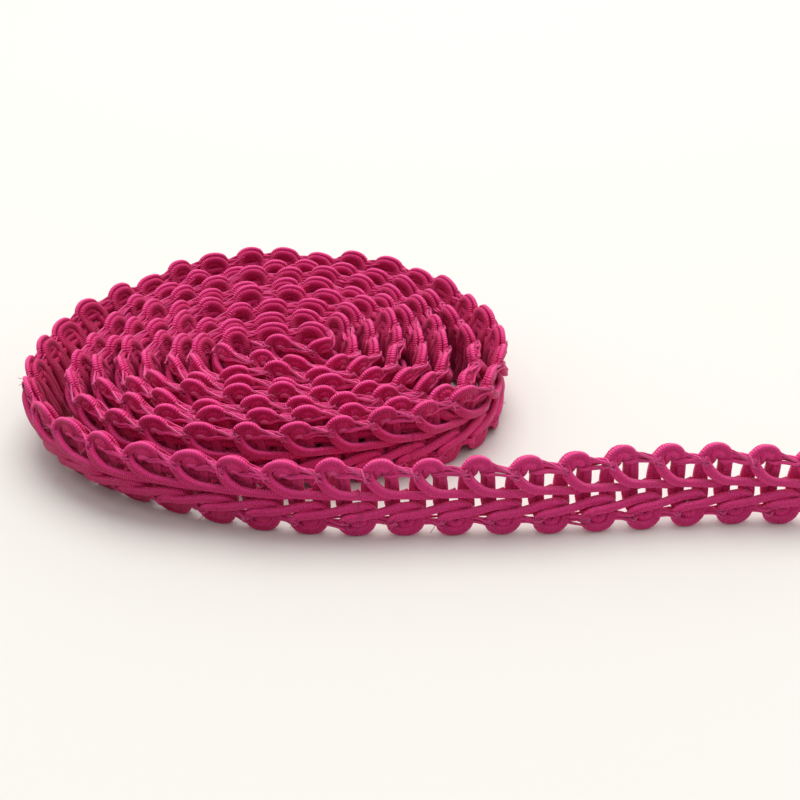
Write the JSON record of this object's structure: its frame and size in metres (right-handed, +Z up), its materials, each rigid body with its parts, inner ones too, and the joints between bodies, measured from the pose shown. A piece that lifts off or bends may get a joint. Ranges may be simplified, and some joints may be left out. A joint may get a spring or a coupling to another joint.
{
  "type": "wound braided ribbon",
  "caption": "Silky scalloped cord braid wound in a flat spiral coil that stands on its edge, with its loose end running out to one side.",
  "frame": {"origin": "on the table, under the middle of the whole part's box", "axes": "+X along the loose end to the right, +Y away from the loose end across the coil, +Z up"},
  "size_m": [0.1126, 0.0668, 0.012],
  "materials": {
    "silk_cord": "silky magenta wrapped cord"
  },
  "bodies": {
    "root": {"braid_coil": "silk_cord", "loose_end": "silk_cord"}
  },
  "joints": []
}
